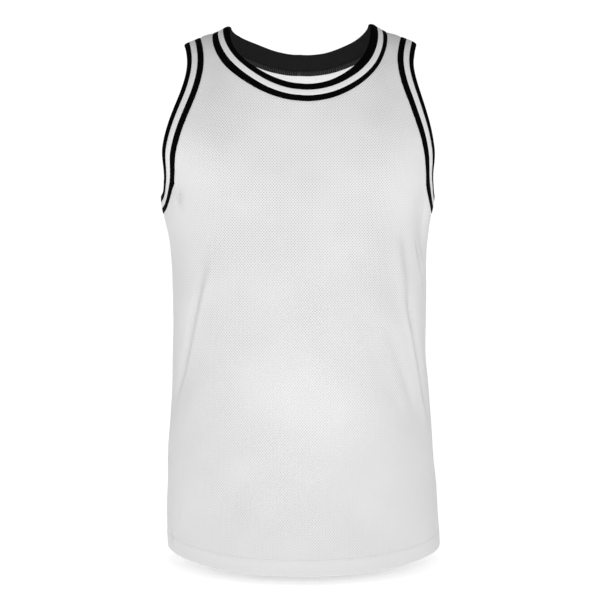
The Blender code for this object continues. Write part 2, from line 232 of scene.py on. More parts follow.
def folds(ring, z):
    out = np.zeros(np.shape(z))
    for a0, z0, a1, z1, near, far, depth in FOLDS:
        u = (np.mod(ring - radians(a0) + pi, 2 * pi) - pi) * FOLD_SPAN
        du, dz = radians(a1 - a0) * FOLD_SPAN, z1 - z0
        size = np.hypot(du, dz)
        t = (u * du + (z - z0) * dz) / size**2
        off = (u * dz - (z - z0) * du) / size
        reach = np.where(off < 0, near, far)
        out += depth * ease(np.minimum(t + 0.15, 1.15 - t) / 0.45) * np.exp(-(off / reach) ** 2)
    return out


def ring_angle(x, z, back):
    sizes = read(BODY_CURVE, np.minimum(z, 0.0))
    half = np.where(x > 0, sizes[..., 1], sizes[..., 0])
    a = np.arccos(np.clip(x / half, -0.999, 0.999))
    return -a if back else a


def creases(ring, z):
    """Soft troughs and ridges along the bent lines of the table."""
    out = np.zeros(np.shape(z))
    t = np.linspace(0, 1, 15)
    for panel, x0, z0, x1, z1, x2, z2, width, depth, ridge, side in CREASES:
        lx = (1 - t) ** 2 * x0 + 2 * t * (1 - t) * x1 + t * t * x2
        lz = (1 - t) ** 2 * z0 + 2 * t * (1 - t) * z1 + t * t * z2
        la = ring_angle(lx, lz, panel == "back")
        mid = la[7]
        u = (np.mod(ring - mid + pi, 2 * pi) - pi) * FOLD_SPAN
        lu = (la - mid) * FOLD_SPAN
        pad = 5 * width
        hit = ((u > lu.min() - pad) & (u < lu.max() + pad)
               & (z > lz.min() - pad) & (z < lz.max() + pad))
        if not hit.any():
            continue
        pu, pz = u[hit], z[hit]
        best = np.full(pu.shape, 1e9)
        sign, along = np.zeros(pu.shape), np.zeros(pu.shape)
        for k in range(len(t) - 1):
            du, dz = lu[k + 1] - lu[k], lz[k + 1] - lz[k]
            size = np.hypot(du, dz)
            q = np.clip(((pu - lu[k]) * du + (pz - lz[k]) * dz) / size**2, 0, 1)
            d = np.hypot(pu - lu[k] - q * du, pz - lz[k] - q * dz)
            new = d < best
            best = np.where(new, d, best)
            sign = np.where(new, np.sign((pu - lu[k]) * dz - (pz - lz[k]) * du), sign)
            along = np.where(new, (k + q) / (len(t) - 1), along)
        s = best * sign * side / width
        fade = ease(np.minimum(along / 0.28, (1 - along) / 0.4))
        # a crease is deeper in one stretch than in the next
        fade = fade * (0.82 + 0.18 * np.sin(along * 9.0 + x0 * 0.13))
        # steep on the ridge's side, slow to rise again on the other
        trough = np.exp(-np.where(s > 0, s, 0.45 * s) ** 2)
        out[hit] += fade * (-depth * trough + ridge * np.exp(-((s - 2.0) / 1.35) ** 2))
    return out


# long, shallow unevenness of worn cloth: waves across the ring and up it, height, phase
WAVES = ((3.0, 0.0052, 0.55, 0.4), (5.0, 0.0087, 0.42, 2.1), (8.0, 0.0040, 0.30, 4.0),
         (11.0, 0.0150, 0.20, 1.2), (17.0, 0.0110, 0.12, 5.3))


def waves(ring, z):
    out = np.zeros(np.shape(z))
    for k, f, size, phase in WAVES:
        out += size * np.sin(k * ring + phase) * np.sin(2 * pi * f * z + phase * 1.7)
    return out


def relief(a, h):
    """Everything that stands off the plain surface over the whole cloth."""
    z = place(a, h)[..., 2]
    ring = np.where(h <= 0, a, -a)
    return folds(ring, z) + creases(ring, z) + waves(ring, z)


def walk(ah, heading, distance, steps=8):
    a, h = ah[..., 0].copy(), ah[..., 1].copy()
    ds = distance / steps
    for _ in range(steps):
        a1, h1 = a, h
        for part in (0.5, 1.0):
            pa, ph, n = slopes(a1, h1)
            t = heading - n * np.sum(heading * n, -1, keepdims=True)
            t /= np.linalg.norm(t, axis=-1, keepdims=True)
            e, f, g = np.sum(pa * pa, -1), np.sum(pa * ph, -1), np.sum(ph * ph, -1)
            p, q = np.sum(pa * t, -1), np.sum(ph * t, -1)
            det = e * g - f * f
            a1, h1 = a + (g * p - f * q) / det * ds * part, h + (e * q - f * p) / det * ds * part
        a, h, heading = a1, h1, t
    return np.stack([a, h], -1)


# ---- cut edges ---------------------------------------------------------------------------
def power(v, p):
    return np.sign(v) * np.abs(v) ** p


def neck_edge(t):
    c, s = np.cos(t), np.sin(t)
    front = s >= 0
    across = np.where(front, NECK["across_front"], NECK["across_back"])
    down = np.where(front, NECK["down_front"], NECK["down_back"])
    x = (NECK["half"] * power(c, 2 / across) + NECK["shift_front"] * np.maximum(0, s) ** 2
         + NECK["shift_back"] * np.maximum(0, -s) ** 2)
    h = np.where(front, -NECK["front"], NECK["back"]) * np.abs(s) ** (2 / down)
    level = -BREAK * (1 - np.sin((1 + h / BREAK) * pi / 2))
    sizes = read(BODY_CURVE, level)
    half = np.where(x > 0, sizes[..., 1], sizes[..., 0])
    return np.stack([np.arccos(np.clip(x / half, -1, 1)), h], -1)


def arm_edge(t, left=False):
    arm = ARM["left" if left else "right"]
    t = np.asarray(t, float)
    turn = np.where(t < -pi / 2, 1.0, np.where(t > pi / 2, -1.0, 0.0))
    flip = np.where(turn == 0, 1.0, -1.0)
    t = t + turn * pi
    c, s = np.cos(t), np.sin(t)
    front = s < 0
    pick = lambda name: np.where(front, arm[name + "_front"], arm[name + "_back"])
    w = 1 + pick("full") * np.sin(2 * np.abs(t)) + pick("wave") * np.sin(4 * np.abs(t))
    a = radians(arm["angle"]) * np.abs(c) ** (2 / pick("across")) * w
    h = arm["low"] * power(s, 2 / pick("down"))
    a = a * flip
    return np.stack([pi - a if left else a, h * flip], -1)


def arm_left(t):
    return arm_edge(t, True)


def even(edge, t0, t1, count):
    t = np.linspace(t0, t1, 801)
    ah = edge(t)
    run = np.r_[0, np.cumsum(np.linalg.norm(np.diff(place(ah[:, 0], ah[:, 1]), axis=0), axis=1))]
    return np.interp(np.linspace(0, run[-1], count + 1), run, t)


def lane(edge, t, distance):
    """Line that runs a distance in from a free edge; the neck's stripes wander a little."""
    e = 1e-3
    ah, b, f = edge(t), edge(t - e), edge(t + e)
    if edge is arm_left:
        b, f = f, b
    if edge is neck_edge:
        share = np.interp(distance, (1.6, 8.0, 17.0, 22.3), (0.0, 1.0, 1.0, 0.0))
        distance = distance + NECK_WANDER * share * np.maximum(0, np.sin(t)) * np.cos(t) ** 3
    else:
        share = np.interp(distance, (1.6, 7.0, 16.5, 22.3), (0.0, 1.0, 1.0, 0.0))
        size = ARM_WANDER["left" if edge is arm_left else "right"]
        distance = distance + size * share * ease((np.abs(t) - 1.0) / 0.45)
    way = place(f[:, 0], f[:, 1]) - place(b[:, 0], b[:, 1])
    way /= np.linalg.norm(way, axis=-1, keepdims=True)
    inward = np.cross(slopes(ah[:, 0], ah[:, 1])[2], way)
    return walk(ah, inward, distance) if np.any(distance) else ah


def hem_line(a, front):
    low = HEM_FRONT if front else HEM_BACK
    return low + (HEM_SIDE - low) * np.abs(np.cos(a)) ** 3


# ---- cloth coordinates: how far round and how far up the flat cloth a point lies ------------
GRID_A = np.linspace(-0.05, pi + 0.05, 241)
GRID_H = np.linspace(-730.0, 730.0, 366)
_pa, _ph, _ = slopes(GRID_A[None, :], GRID_H[:, None])
_u = np.cumsum(np.linalg.norm(_pa, axis=-1), axis=1) * (GRID_A[1] - GRID_A[0])
_v = np.cumsum(np.linalg.norm(_ph, axis=-1), axis=0) * (GRID_H[1] - GRID_H[0])
_u -= _u[:, 120:121]


def flat_place(a, h):
    """(across, up from the panel's own hem) on the flat cloth, in mm."""
    i = np.clip((a - GRID_A[0]) / (GRID_A[1] - GRID_A[0]), 0, len(GRID_A) - 1.001)
    j = np.clip((h - GRID_H[0]) / (GRID_H[1] - GRID_H[0]), 0, len(GRID_H) - 1.001)
    i0, j0 = i.astype(int), j.astype(int)
    fi, fj = i - i0, j - j0
    out = []
    for g in (_u, _v):
        out.append((g[j0, i0] * (1 - fi) + g[j0, i0 + 1] * fi) * (1 - fj)
                   + (g[j0 + 1, i0] * (1 - fi) + g[j0 + 1, i0 + 1] * fi) * fj)
    whole = _v[-1, i0] * (1 - fi) + _v[-1, i0 + 1] * fi
    return np.stack([out[0], np.where(h > 0, whole - out[1], out[1])], -1)


# ---- seams -------------------------------------------------------------------------------
def seam_track(edge, t0, t1, distance, count=360):
    t = even(edge, t0, t1, count)
    ah = lane(edge, t, distance)
    p = place(ah[:, 0], ah[:, 1])
    run = np.r_[0, np.cumsum(np.linalg.norm(np.diff(p, axis=0), axis=1))]
    return p, run


TRACKS = [seam_track(neck_edge, 0.0, 2 * pi, TRIM, 500),
          seam_track(arm_edge, -pi / 2, pi / 2, TRIM),
          seam_track(arm_left, -pi / 2, pi / 2, TRIM)]


def pucker(run, seed):
    """Uneven little gathers along a sewn line."""
    w = run + 4.0 * np.sin(run / 23.0 + seed)
    return (0.55 * np.sin(w / 1.9 + seed) + 0.45 * np.sin(w / 3.3 + 2.1 * seed)) * (
        0.55 + 0.45 * np.sin(run / 41.0 + 1.3 * seed))


def seams(points):
    """Dip and gathers beside the trims' seams."""
    out = np.zeros(len(points))
    for k, (line, run) in enumerate(TRACKS):
        lo, hi = line.min(0) - 22, line.max(0) + 22
        hit = np.where(((points > lo) & (points < hi)).all(1))[0]
        for part in np.array_split(hit, max(1, len(hit) // 4000)):
            if not len(part):
                continue
            d = np.linalg.norm(points[part, None] - line[None], axis=2)
            near = d.argmin(1)
            gap = d[np.arange(len(part)), near]
            out[part] += -0.45 * np.exp(-(gap / 1.8) ** 2)
            out[part] += 0.22 * pucker(run[near], k + 1.0) * np.exp(-gap / 6.5)
    return out


def side_seam(a, h, points):
    """Trough and gathers along the side seams."""
    pa = np.linalg.norm(slopes(a, h)[0], axis=-1)
    gap = np.minimum(np.abs(a), np.abs(pi - a)) * pa
    on = ease((-points[:, 2] - 190) / 40)
    seed = np.where(a < pi / 2, 2.0, 5.0)
    return on * (-0.7 * np.exp(-(gap / 2.2) ** 2) + 0.3 * np.exp(-((gap - 5.0) / 3.0) ** 2)
                 + 0.26 * pucker(points[:, 2], seed) * np.exp(-gap / 8.0))


def shoulder_seam(h, points):
    gap = np.abs(h)
    on = ease((points[:, 2] + 40) / 25)
    return on * (-0.5 * np.exp(-(gap / 1.8) ** 2)
                 + 0.18 * pucker(points[:, 0], 3.0) * np.exp(-gap / 6.0))


# ---- panels ------------------------------------------------------------------------------
def panel_path(start, end, count):
    total = abs(end[1] - start[1])
    lifts = list(ROWS["hem"])
    lifts += list(np.linspace(lifts[-1], total, count - len(lifts) + 2)[1:])
    k = np.array(lifts) / total
    return start + k[:, None] * (end - start)


def half_panel(front, left):
    g = SEAM_GAP / 2
    rows, columns = ROWS["front" if front else "back"], ROWS["columns"]
    if front:
        t = even(neck_edge, pi / 2, pi if left else 0.0, rows["neck"])
    else:
        t = even(neck_edge, 3 * pi / 2, pi, rows["neck"]) if left else \
            even(neck_edge, -pi / 2, 0.0, rows["neck"])
    lanes = [lane(neck_edge, t, TRIM + g + d) for d in (0.0, 1.7, 3.4, 5.1, FLAP)]
    edge = arm_left if left else arm_edge
    t = even(edge, -pi / 2 if front else pi / 2, 0.0, rows["arm"])
    arm = lane(edge, t, TRIM + g)
    way = 1 if front else -1
    inner = np.vstack([panel_path(np.array([pi / 2, hem_line(pi / 2, front) * way]), lanes[-1][0],
                                  rows["centre"]), lanes[-1][1:]])
    outer = np.vstack([panel_path(np.array([pi if left else 0.0, HEM_SIDE * way]), arm[0],
                                  rows["side"]), arm[1:]])
    if len(inner) != len(outer):
        raise ValueError(f"rows differ: {len(inner)} and {len(outer)}")
    n = rows["side"] + 1
    pa = np.linalg.norm(slopes(outer[:n, 0], outer[:n, 1])[0], axis=-1)
    outer[:n, 0] += (-1 if left else 1) * JOIN_GAP / pa
    w = np.linspace(0, 1, columns + 1)[None, :, None]
    grid = inner[:, None, :] * (1 - w) + outer[:, None, :] * w
    for row, lift in enumerate(ROWS["hem"]):
        grid[row, :, 1] = (hem_line(grid[row, :, 0], front) + lift) * way
    strip = np.stack(lanes, 1)
    for block in (grid[-1], strip[-1]):
        ph = np.linalg.norm(slopes(block[:, 0], block[:, 1])[1], axis=-1)
        block[:, 1] += -way * JOIN_GAP / ph
    return grid, strip


def build(name, verts, faces, uv, slots=None, sharp=38.0):
    mesh = bpy.data.meshes.new(name)
    mesh.from_pydata((np.asarray(verts) * MM).tolist(), [], [list(map(int, f)) for f in faces])
    mesh.validate()
    layer = mesh.uv_layers.new(name="cloth")
    index = np.empty(len(mesh.loops), int)
    mesh.loops.foreach_get("vertex_index", index)
    layer.data.foreach_set("uv", (np.asarray(uv)[index] * MM).ravel())
    if slots is not None:
        mesh.polygons.foreach_set("material_index", np.asarray(slots, int))
    mesh.shade_smooth()
    mesh.set_sharp_from_angle(angle=radians(sharp))
    mesh.update()
    obj = bpy.data.objects.new(name, mesh)
    bpy.context.scene.collection.objects.link(obj)
    return obj


def panel(name, front):
    cells, keys, quads, base = [], [], [], 0
    for left in (False, True):
        for block in half_panel(front, left):
            r, c = block.shape[:2]
            ids = base + np.arange(r * c).reshape(r, c)
            q = np.stack([ids[:-1, :-1], ids[:-1, 1:], ids[1:, 1:], ids[1:, :-1]], -1)
            m = block[r // 2:r // 2 + 2, c // 2:c // 2 + 2]
            p = place(m[..., 0], m[..., 1])
            face = np.cross(p[0, 1] - p[0, 0], p[1, 0] - p[0, 0])
            if np.dot(face, slopes(m[0, 0, 0], m[0, 0, 1])[2]) < 0:
                q = q[..., ::-1]
            quads.append(q.reshape(-1, 4))
            cells.append(block.reshape(-1, 2))
            base += r * c
    ah, quads = np.vstack(cells), np.vstack(quads)
    key = np.round(ah * [1e6, 1e3]).astype(np.int64)
    _, first, back_ref = np.unique(key, axis=0, return_index=True, return_inverse=True)
    ah, quads = ah[first], back_ref.reshape(-1)[quads]
    a, h = ah[:, 0], ah[:, 1]
    base_p, n = place(a, h), slopes(a, h)[2]
    up = np.abs(h) * -1 - hem_line(a, front)          # height above the hem's edge
    up = np.where(np.abs(h) < BREAK, 400.0, up)
    f = relief(a, h) + seams(base_p) + side_seam(a, h, base_p) + shoulder_seam(h, base_p)
    hem = 1 - ease((up - 20.0) / 1.7)
    flat = flat_place(a, h)
    f += 0.35 * hem - 0.22 * np.exp(-((up - STITCH_LINE) / 0.8) ** 2)
    f += 0.24 * pucker(flat[:, 0], 4.0 if front else 7.0) * np.exp(-np.abs(up - STITCH_LINE) / 7.0)
    edge = np.clip(1 - up / 1.3, 0, 1)
    round_in = 1.3 * (1 - np.sqrt(np.clip(1 - edge**2, 0, 1)))
    thick = WALL + (HEM_WALL - WALL) * hem
    inner = base_p + n * (f - thick + np.minimum(round_in, thick / 2 - 0.05))[:, None]
    outer = base_p + n * (f - np.minimum(round_in, thick / 2 - 0.05))[:, None]
    count = len(ah)
    e = np.vstack([quads[:, [k, (k + 1) % 4]] for k in range(4)])
    s = np.sort(e, axis=1)
    _, where, times = np.unique(s, axis=0, return_index=True, return_counts=True)
    rim = e[where[times == 1]]
    faces = np.vstack([quads, quads[:, ::-1] + count,
                       np.stack([rim[:, 1], rim[:, 0], rim[:, 0] + count, rim[:, 1] + count], 1)])
    doubled = np.r_[up, up][faces].max(1) < STITCH_LINE + 0.05
    return build(name, np.vstack([outer, inner]), faces, np.vstack([flat, flat]),
                 doubled.astype(int))


# ---- trims -------------------------------------------------------------------------------
def ring_points(edge, t, profile):
    """Points and flat coordinates of a closed ring with a (distance, lift) profile."""
    near = {s: lane(edge, t, s) for s in sorted({s for s, _ in profile})}
    ref = place(*lane(edge, t, 12.0).T)
    step = np.linalg.norm(np.roll(ref, -1, 0) - ref, axis=1)
    run = np.r_[0, np.cumsum(step)[:-1]]
    rows, flat = [], []
    cache = {s: (place(v[:, 0], v[:, 1]), slopes(v[:, 0], v[:, 1])[2], relief(v[:, 0], v[:, 1]))
             for s, v in near.items()}
    roll = (3.0 if edge is neck_edge else 1.6) * np.abs(np.cos(t)) ** 10
    for s, lift in profile:
        p, n, f = cache[s]
        wob = 0.16 * pucker(run, 2.6) * np.exp(-abs(s - TRIM) / 5.0)
        # on the shoulder the free edge rolls over
        rows.append(p + n * (f + lift + wob - roll * max(0.0, 1 - s / 6.5) ** 2)[:, None])
        flat.append(np.stack([run, np.full(len(run), s)], -1))
    return np.array(rows), np.array(flat), run, step.sum()


def ring(name, edge, t, profile, slot_of):
    rows, flat, _, _ = ring_points(edge, t, profile)
    m, k = rows.shape[:2]
    ids = np.arange(m * k).reshape(m, k)
    nxt = np.roll(ids, -1, 1)
    q = np.stack([ids, nxt, np.roll(nxt, -1, 0), np.roll(ids, -1, 0)], -1)
    verts = rows.reshape(-1, 3)
    # faces out: compare the volume's sign
    tri = verts[q[..., :3].reshape(-1, 3)]
    tri2 = verts[q.reshape(-1, 4)[:, [0, 2, 3]]]
    vol = sum(np.einsum("ij,ij->i", x[:, 0], np.cross(x[:, 1], x[:, 2])).sum() for x in (tri, tri2))
    if vol < 0:
        q = q[..., ::-1]
    slots = np.repeat(np.array(slot_of), k)
    return build(name, verts, q.reshape(-1, 4), flat.reshape(-1, 2), slots, 50.0)


def band_profile(stripes):
    """Rib band: rounded free edge, a low crown, a nick at each colour change, seam edge rolled."""
    end = TRIM - SEAM_GAP / 2
    out = [(0.0, -1.15), (0.05, -0.55), (0.3, -0.05), (0.8, 0.32), (1.6, 0.55), (3.0, 0.66)]
    s1, s2 = stripes
    out += [(5.5, 0.70), (s1 - 0.5, 0.66), (s1, 0.52), (s1 + 0.5, 0.62), ((s1 + s2) / 2, 0.66),
            (s2 - 0.5, 0.62), (s2, 0.52), (s2 + 0.5, 0.64), (20.0, 0.62), (22.3, 0.48),
            (23.2, 0.16), (end, -0.35)]
    top = len(out)
    out += [(end, -1.2), (end - 0.4, -RIB_UNDER), (12.0, -RIB_UNDER), (1.4, -RIB_UNDER),
            (0.6, -1.75), (0.15, -1.45)]
    return out, [0] * (top - 1) + [1] * (len(out) - top + 1)


def stripe_profile(stripes):
    s1, s2 = stripes
    m = (s1 + s2) / 2
    return [(s1 + 0.02, 0.38), (s1 + 0.1, 0.64), (s1 + 0.5, 0.75), (m, 0.80), (s2 - 0.5, 0.75),
            (s2 - 0.1, 0.64), (s2 - 0.02, 0.38), (m, 0.34)]


def overlock_profile():
    under = -WALL - SEAM_GAP - 0.05
    a, b = TRIM - SEAM_GAP / 2, TRIM - SEAM_GAP / 2 + FLAP
    return [(a - 1.6, -RIB_UNDER + 0.1), (a, under - 0.1), (b - 0.5, under), (b, under - 0.3),
            (b - 0.3, under - 0.75), (a + 3.0, under - 0.95), (a - 1.2, under - 0.80)]


def capsules(name, centres, along, normal, length, wide, high):
    """Many little threads lying on a surface, joined in one mesh."""
    side = np.cross(along, normal)
    rings = ((-0.5, 0.35), (-0.36, 0.85), (0.0, 1.0), (0.36, 0.85), (0.5, 0.35))
    turn = np.arange(6) / 6 * 2 * pi
    verts = []
    for s, size in rings:
        for w in turn:
            verts.append(centres + along * (s * length) + side * (np.cos(w) * wide / 2 * size)
                         + normal * (np.sin(w) * high / 2 * size))
    verts = np.stack(verts, 1)
    n = len(rings) * 6
    quads, caps = [], []
    for r in range(len(rings) - 1):
        for k in range(6):
            quads.append((r * 6 + k, r * 6 + (k + 1) % 6, (r + 1) * 6 + (k + 1) % 6, (r + 1) * 6 + k))
    caps = [tuple(range(5, -1, -1)), tuple(range(n - 6, n))]
    faces = []
    test = verts[0]
    q0 = quads[6]
    face = np.cross(test[q0[1]] - test[q0[0]], test[q0[3]] - test[q0[0]])
    flip = np.dot(face, test[q0[0]] - centres[0]) < 0
    shapes = [q[::-1] if flip else q for q in quads + caps]
    for i in range(len(centres)):
        faces += [tuple(v + i * n for v in q) for q in shapes]
    uv = np.zeros((len(centres) * n, 2))
    uv[:, 0] = np.repeat(np.arange(len(centres)) * 3.0, n)
    uv[:, 1] = np.tile(np.arange(n) * 0.4, len(centres))
    return build(name, verts.reshape(-1, 3), faces, uv, sharp=180.0)


def hem_stitches(name, front):
    a = np.linspace(0.012, pi - 0.012, 2400)
    way = 1 if front else -1
    h = (hem_line(a, front) + STITCH_LINE) * way
    p, n = place(a, h), slopes(a, h)[2]
    run = np.r_[0, np.cumsum(np.linalg.norm(np.diff(p, axis=0), axis=1))]
    at = np.interp(np.arange(1.5, run[-1] - 1.5, STITCH_STEP), run, a)
    h = (hem_line(at, front) + STITCH_LINE) * way
    p, n = place(at, h), slopes(at, h)[2]
    flat = flat_place(at, h)
    f = relief(at, h) - 0.10 + 0.24 * pucker(flat[:, 0], 4.0 if front else 7.0)
    f = f + side_seam(at, h, p)
    along = np.gradient(p, axis=0)
    along /= np.linalg.norm(along, axis=1, keepdims=True)
    return capsules(name, p + n * (f + 0.14)[:, None], along, n, 2.35, 0.68, 0.60)


def overlock_threads(name):
    t = even(neck_edge, 0.0, 2 * pi, 300)[:-1]
    s = TRIM - SEAM_GAP / 2 + FLAP / 2 - 0.1
    ah, inner, outer = lane(neck_edge, t, s), lane(neck_edge, t, s - 2.5), lane(neck_edge, t, s + 2.5)
    p, n = place(ah[:, 0], ah[:, 1]), slopes(ah[:, 0], ah[:, 1])[2]
    f = relief(ah[:, 0], ah[:, 1]) - WALL - SEAM_GAP - 1.0
    across = place(outer[:, 0], outer[:, 1]) - place(inner[:, 0], inner[:, 1])
    across /= np.linalg.norm(across, axis=1, keepdims=True)
    round_ = np.cross(n, across)
    lean = np.where(np.arange(len(t)) % 2 == 0, 0.16, -0.10)[:, None]
    way = across + round_ * lean
    way /= np.linalg.norm(way, axis=1, keepdims=True)
    return capsules(name, p + n * f[:, None], way, -n, 5.9, 0.75, 0.5)


# ---- materials ---------------------------------------------------------------------------
class Graph:
    def __init__(self, name):
        self.m = bpy.data.materials.new(name)
        self.m.use_nodes = True
        self.t = self.m.node_tree
        self.shader = self.t.nodes["Principled BSDF"]

    def node(self, kind, **sockets):
        n = self.t.nodes.new(kind)
        for k, v in sockets.items():
            self.put(n.inputs[k], v)
        return n

    def put(self, socket, value):
        if isinstance(value, bpy.types.NodeSocket):
            self.t.links.new(value, socket)
        else:
            socket.default_value = value

    def math(self, op, *values):
        n = self.t.nodes.new("ShaderNodeMath")
        n.operation = op
        for i, v in enumerate(values):
            self.put(n.inputs[i], v)
        return n.outputs[0]

    def span(self, value, a, b, c=0.0, d=1.0, smooth=True):
        n = self.t.nodes.new("ShaderNodeMapRange")
        n.interpolation_type = "SMOOTHSTEP" if smooth else "LINEAR"
        for k, v in (("Value", value), ("From Min", a), ("From Max", b), ("To Min", c), ("To Max", d)):
            self.put(n.inputs[k], v)
        return n.outputs[0]

    def blend(self, factor, a, b):
        n = self.t.nodes.new("ShaderNodeMix")
        n.data_type = "RGBA"
        self.put(n.inputs[0], factor)
        self.put(n.inputs[6], a)
        self.put(n.inputs[7], b)
        return n.outputs[2]

    def cloth(self):
        """The flat cloth's across and up, in mm."""
        uv = self.node("ShaderNodeUVMap")
        uv.uv_map = "cloth"
        parts = self.node("ShaderNodeSeparateXYZ", Vector=uv.outputs[0])
        return (self.math("MULTIPLY", parts.outputs[0], 1000.0),
                self.math("MULTIPLY", parts.outputs[1], 1000.0), uv.outputs[0])

    def noise(self, scale, detail=2.0, vector=None):
        if vector is None:
            vector = self.node("ShaderNodeTexCoord").outputs["Object"]
        n = self.node("ShaderNodeTexNoise", Vector=vector, Scale=scale, Detail=detail)
        return n.outputs[0]

    def set(self, **sockets):
        for k, v in sockets.items():
            self.put(self.shader.inputs[k.replace("_", " ")], v)

    def bump(self, height, strength, distance):
        n = self.node("ShaderNodeBump", Height=height, Strength=strength, Distance=distance)
        self.put(self.shader.inputs["Normal"], n.outputs[0])


def grey(v):
    return (v, v, v * 1.0, 1.0)


def mesh_knit(name, seed, layers=1):
    """White mesh knit: staggered small holes 3.5 mm apart, between fine upright wales.

    The holes are grey, a painted shade of the cloth's inside seen through them; it shows most across
    the chest and in the middle, and hardly at all where the hem lies double."""
    g = Graph(name)
    u, v, _ = g.cloth()
    lattice = []
    for shift in (0.0, 0.5):
        fu = g.math("SUBTRACT", g.math("FRACT", g.math("ADD", g.math("DIVIDE", u, 3.5), shift)), 0.5)
        fv = g.math("SUBTRACT", g.math("FRACT", g.math("ADD", g.math("DIVIDE", v, 4.1), shift)), 0.5)
        du, dv = g.math("MULTIPLY", fu, 3.5), g.math("MULTIPLY", fv, 3.3)
        lattice.append(g.math("SQRT", g.math("ADD", g.math("MULTIPLY", du, du),
                                             g.math("MULTIPLY", dv, dv))))
    hole = g.span(g.math("MINIMUM", *lattice), 0.35, 1.0, 1.0, 0.0)
    wale = g.math("SINE", g.math("MULTIPLY", u, 2 * pi / 0.875))
    spot = g.node("ShaderNodeSeparateXYZ", Vector=g.node("ShaderNodeTexCoord").outputs["Object"])
    chest = g.span(spot.outputs[2], -0.60, -0.20, 0.55, 1.0)
    middle = g.span(g.math("ABSOLUTE", spot.outputs[0]), 0.10, 0.17, 1.0, 0.40)
    patch = g.span(g.noise(16.0 + seed, 2.0), 0.35, 0.65, 0.70, 1.0)
    shown = g.math("MULTIPLY", g.math("MULTIPLY", chest, middle), patch)
    tone = g.span(g.noise(7.0 + seed, 3.0), 0.3, 0.7, 0.0, 1.0)
    base = g.blend(tone, grey(0.800), grey(0.810))
    # the holes' grey (0.38) is painted shade: the dark inside seen through the holes, strongest on the
    # upper chest and the middle, weaker where the hem lies double
    g.set(Base_Color=g.blend(g.math("MULTIPLY", g.math("MULTIPLY", hole, shown),
                                    0.72 if layers == 1 else 0.22), base, grey(0.38)))
    g.set(Roughness=g.span(g.noise(60.0, 2.0), 0.3, 0.7, 0.80, 0.90))
    g.shader.inputs["Specular IOR Level"].default_value = 0.25
    g.shader.inputs["Sheen Weight"].default_value = 0.12
    g.shader.inputs["Sheen Roughness"].default_value = 0.5
    height = g.math("SUBTRACT", g.math("MULTIPLY", wale, 0.08), g.math("MULTIPLY", hole, shown))
    g.bump(height, 0.35 if layers == 1 else 0.2, 0.0003)
    return g.m


def rib_knit(name, dark, light, rough, spec, sheen=0.0):
    """Rib knit with its ribs across the band, 1.3 mm apart."""
    g = Graph(name)
    u, v, _ = g.cloth()
    rib = g.math("SINE", g.math("MULTIPLY", u, 2 * pi / 1.3))
    stitch = g.math("SINE", g.math("ADD", g.math("MULTIPLY", v, 2 * pi / 1.1),
                                   g.math("MULTIPLY", rib, 1.2)))
    height = g.math("ADD", g.math("MULTIPLY", rib, 0.7), g.math("MULTIPLY", stitch, 0.3))
    # colour follows the ribs' height, darker in the valleys and lighter on the crests: painted shade;
    # the noise part is random tone
    tone = g.math("ADD", g.math("MULTIPLY", g.span(height, -0.9, 0.9), 0.6),
                  g.math("MULTIPLY", g.noise(45.0, 3.0), 0.4))
    g.set(Base_Color=g.blend(tone, grey(dark), grey(light)))
    g.set(Roughness=g.span(g.noise(90.0, 2.0), 0.3, 0.7, rough - 0.05, rough + 0.05))
    g.shader.inputs["Specular IOR Level"].default_value = spec
    if sheen:
        g.shader.inputs["Sheen Weight"].default_value = sheen
        g.shader.inputs["Sheen Roughness"].default_value = 0.6
    g.bump(height, 0.5, 0.00030)
    return g.m


def thread(name, dark, light):
    g = Graph(name)
    u, v, _ = g.cloth()
    ply = g.math("SINE", g.math("ADD", g.math("MULTIPLY", v, 2.2), g.math("MULTIPLY", u, 0.8)))
    # darker in the grooves of the twist, lighter on the plies: painted shade
    g.set(Base_Color=g.blend(g.span(ply, -1.0, 1.0), grey(dark), grey(light)))
    g.set(Roughness=g.span(g.noise(120.0, 2.0), 0.3, 0.7, 0.55, 0.7))
    g.shader.inputs["Specular IOR Level"].default_value = 0.3
    g.bump(ply, 0.3, 0.0001)
    return g.m


def pale_floor_painted_shadow(name, tone, under, open_):
    """Pale floor with its own soft glow, which fades down in an ellipse under the hem: a painted
    shadow.
    """
    g = Graph(name)
    g.set(Base_Color=g.blend(g.noise(3.0, 2.0), grey(tone * 0.985), grey(tone)))
    g.set(Roughness=0.9)
    g.shader.inputs["Specular IOR Level"].default_value = 0.0
    g.shader.inputs["Emission Color"].default_value = (1, 1, 1, 1)
    spot = g.node("ShaderNodeSeparateXYZ", Vector=g.node("ShaderNodeTexCoord").outputs["Object"])
    x = g.math("DIVIDE", g.math("SUBTRACT", spot.outputs[0], 0.005), 0.148)
    y = g.math("DIVIDE", spot.outputs[1], 0.129)
    out = g.math("SQRT", g.math("ADD", g.math("MULTIPLY", x, x), g.math("MULTIPLY", y, y)))
    # glow dimmed inside an ellipse round the hem's footprint: painted shadow
    g.set(Emission_Strength=g.span(out, 0.70, 1.50, under, open_, False))
    return g.m


# ---- the garment -------------------------------------------------------------------------
white_front, white_back = mesh_knit("mesh_white_front", 0.0), mesh_knit("mesh_white_back", 0.7)
hem_front = mesh_knit("mesh_white_front_hem", 0.0, 2)
hem_back = mesh_knit("mesh_white_back_hem", 0.7, 2)
rib_black = rib_knit("rib_black", 0.0006, 0.0022, 0.90, 0.03)
# the band's inside and seam allowance get a lighter copy of the black rib: painted light where light
# reaches the inside
rib_inside_painted_lit = rib_knit("rib_black_inside_painted_light", 0.0070, 0.0120, 0.90, 0.10)
rib_white = rib_knit("rib_white", 0.79, 0.88, 0.82, 0.20, 0.1)
thread_white = thread("thread_white", 0.78, 0.88)
thread_dark = thread("thread_charcoal", 0.035, 0.070)

front = panel("jersey_front", True)
front.data.materials.append(white_front)
front.data.materials.append(hem_front)
back = panel("jersey_back", False)
back.data.materials.append(white_back)
back.data.materials.append(hem_back)

